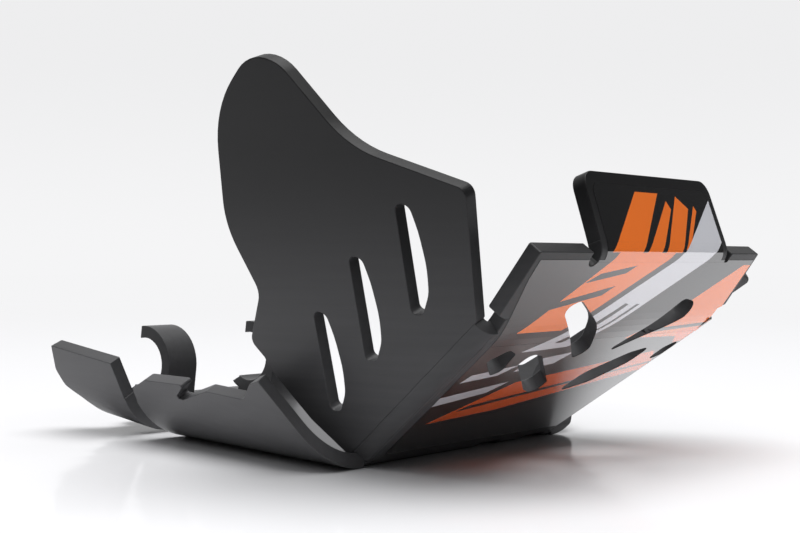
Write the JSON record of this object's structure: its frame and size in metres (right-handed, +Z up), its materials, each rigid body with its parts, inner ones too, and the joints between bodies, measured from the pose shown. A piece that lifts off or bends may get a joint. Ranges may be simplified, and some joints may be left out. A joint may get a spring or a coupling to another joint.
{
  "type": "motorcycle skid plate",
  "caption": "Off-road motorcycle skid plate folded from one thick black plastic sheet, with a tall slotted side wing, pierced front panel and rear hooks.",
  "frame": {"origin": "centre of the flat underside, midway between the front fold and the kick-up, on the motorcycle's centreline", "axes": "+Z up, -Y towards the motorcycle's front, -X towards its right side, which carries the tall wing"},
  "size_m": [0.3098, 0.3952, 0.215],
  "materials": {
    "sheet": "satin"
  },
  "bodies": {
    "root": {"skid_plate": "sheet"}
  },
  "joints": []
}
